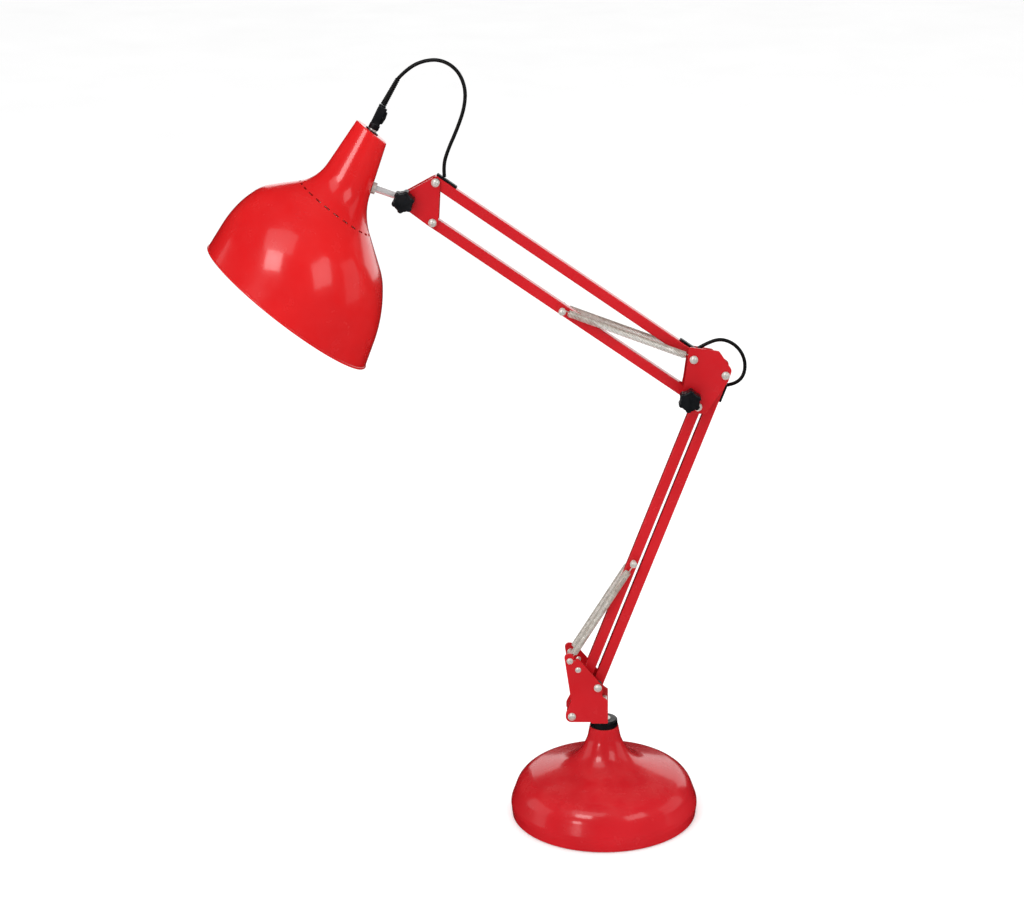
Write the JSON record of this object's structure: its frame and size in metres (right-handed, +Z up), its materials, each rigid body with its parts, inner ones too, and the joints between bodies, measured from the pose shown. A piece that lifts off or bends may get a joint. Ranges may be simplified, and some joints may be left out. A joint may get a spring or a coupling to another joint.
{
  "type": "desk lamp",
  "caption": "Architect's desk lamp with a weighted round base, a sprung two-stage parallelogram arm, friction clamps and a bell-shaped metal shade.",
  "frame": {"origin": "centre of the base's underside, on the table", "axes": "+Z up, along the base's axis; the arms work in the XZ plane and the shade reaches out towards -X"},
  "size_m": [0.4978, 0.2002, 0.7472],
  "materials": {
    "red_paint": "gloss",
    "shade_paint": "gloss",
    "cast_weight": "matte",
    "cover_steel": "satin",
    "base_felt": "matte",
    "zinc": "satin",
    "black_collar": "gloss",
    "black_plastic": "satin",
    "sleeve_nylon": "matte",
    "spring_steel": "satin",
    "rod_chrome": "mirror",
    "flex_black": "satin",
    "bulb_glass": "gloss",
    "bulb_cap": "satin"
  },
  "bodies": {
    "base": {"base_shell": "red_paint", "base_weight": "cast_weight", "base_cover": "cover_steel", "base_pad": "base_felt", "base_screws": "zinc", "neck_bush": "black_collar", "neck_collar": "black_collar", "cable_gland": "black_plastic"},
    "turret": {"swivel_post": "zinc", "post_clip": "zinc", "base_cheek_front": "red_paint", "base_cheek_rear": "red_paint", "base_fasteners": "zinc", "base_sleeves": "sleeve_nylon", "spring_studs": "zinc", "cheek_rivets": "zinc"},
    "lower_right": {"lower_right_bar": "red_paint", "lower_cable_entry": "black_plastic", "lower_inner_flex": "flex_black", "elbow_flex_lower": "flex_black"},
    "lower_left": {"lower_left_bar": "red_paint", "lower_spring_bolt": "zinc", "lower_spring_front": "spring_steel", "lower_spring_rear": "spring_steel"},
    "elbow": {"elbow_plate_front": "red_paint", "elbow_plate_rear": "red_paint", "elbow_fasteners": "zinc", "elbow_sleeves": "sleeve_nylon", "elbow_clamp_bolt": "zinc"},
    "elbow_knob": {"elbow_knob": "black_plastic"},
    "upper_top": {"upper_top_bar": "red_paint", "head_cable_entry": "black_plastic", "elbow_cable_entry": "black_plastic", "upper_inner_flex": "flex_black", "elbow_flex_upper": "flex_black", "head_flex_arm": "flex_black"},
    "upper_low": {"upper_low_bar": "red_paint", "upper_spring_bolt": "zinc", "upper_spring_front": "spring_steel", "upper_spring_rear": "spring_steel"},
    "head": {"head_plate_front": "red_paint", "head_plate_rear": "red_paint", "head_fasteners": "zinc", "head_washers": "sleeve_nylon"},
    "tilt_clamp": {"tilt_bolt": "zinc", "head_flex_tilt": "flex_black"},
    "head_knob": {"head_knob": "black_plastic"},
    "shade": {"shade_shell": "shade_paint", "shade_rod": "rod_chrome", "rod_nuts": "zinc", "nipple": "zinc", "top_washer": "black_plastic", "lampholder": "black_plastic", "bulb_cap": "bulb_cap", "bulb_glass": "bulb_glass", "switch_body": "black_plastic", "cord_sleeve": "flex_black", "head_flex_shade": "flex_black"},
    "switch_key": {"switch_key": "black_plastic"}
  },
  "joints": [
    {"name": "base_swivel", "type": "hinge", "parent": "base", "child": "turret", "pos_m": [0, 0, 0.0965], "axis": [0, 0, 1], "range_deg": [-170, 170]},
    {"name": "lower_arm", "type": "hinge", "parent": "turret", "child": "lower_right", "pos_m": [-0.006, 0, 0.1389], "axis": [0, 1, 0], "range_deg": [-42, 3]},
    {"name": "lower_left_link", "type": "hinge", "parent": "turret", "child": "lower_left", "pos_m": [-0.0315, 0, 0.1084], "axis": [0, 1, 0], "range_deg": [-42, 3], "deforming": ["lower_spring_front", "lower_spring_rear"]},
    {"name": "elbow_link", "type": "hinge", "parent": "lower_right", "child": "elbow", "pos_m": [0.11369, 0, 0.45564], "axis": [0, 1, 0], "range_deg": [-3, 42], "deforming": ["elbow_flex_lower"]},
    {"name": "upper_arm", "type": "hinge", "parent": "elbow", "child": "upper_top", "pos_m": [0.08379, 0, 0.47104], "axis": [0, 1, 0], "range_deg": [-50, 40], "deforming": ["elbow_flex_upper"]},
    {"name": "upper_low_link", "type": "hinge", "parent": "elbow", "child": "upper_low", "pos_m": [0.08009, 0, 0.43374], "axis": [0, 1, 0], "range_deg": [-50, 40], "deforming": ["upper_spring_front", "upper_spring_rear"]},
    {"name": "head_link", "type": "hinge", "parent": "upper_top", "child": "head", "pos_m": [-0.15385, 0, 0.63621], "axis": [0, 1, 0], "range_deg": [-40, 50], "deforming": ["head_flex_arm"]},
    {"name": "head_tilt", "type": "hinge", "parent": "head", "child": "tilt_clamp", "pos_m": [-0.183, 0, 0.62], "axis": [0, 1, 0], "range_deg": [-45, 35], "deforming": ["head_flex_tilt"]},
    {"name": "shade_swivel", "type": "hinge", "parent": "tilt_clamp", "child": "shade", "pos_m": [-0.183, 0, 0.62], "axis": [-0.9427, 0, 0.3336], "range_deg": [-40, 40], "deforming": ["head_flex_shade"]},
    {"name": "head_knob_turn", "type": "hinge", "parent": "tilt_clamp", "child": "head_knob", "pos_m": [-0.183, 0, 0.62], "axis": [0, 1, 0], "range_deg": [-150, 60]},
    {"name": "elbow_knob_turn", "type": "hinge", "parent": "elbow", "child": "elbow_knob", "pos_m": [0.08009, 0, 0.43374], "axis": [0, 1, 0], "range_deg": [-150, 60]},
    {"name": "switch_key_rock", "type": "hinge", "parent": "shade", "child": "switch_key", "pos_m": [-0.2017, 0.00739, 0.69338], "axis": [-0.0389, 0.9932, -0.11], "range_deg": [-6, 6]}
  ],
  "couplings": [
    {"joint": "lower_left_link", "follows": "lower_arm", "ratio": 1},
    {"joint": "elbow_link", "follows": "lower_arm", "ratio": -1},
    {"joint": "upper_low_link", "follows": "upper_arm", "ratio": 1},
    {"joint": "head_link", "follows": "upper_arm", "ratio": -1}
  ]
}
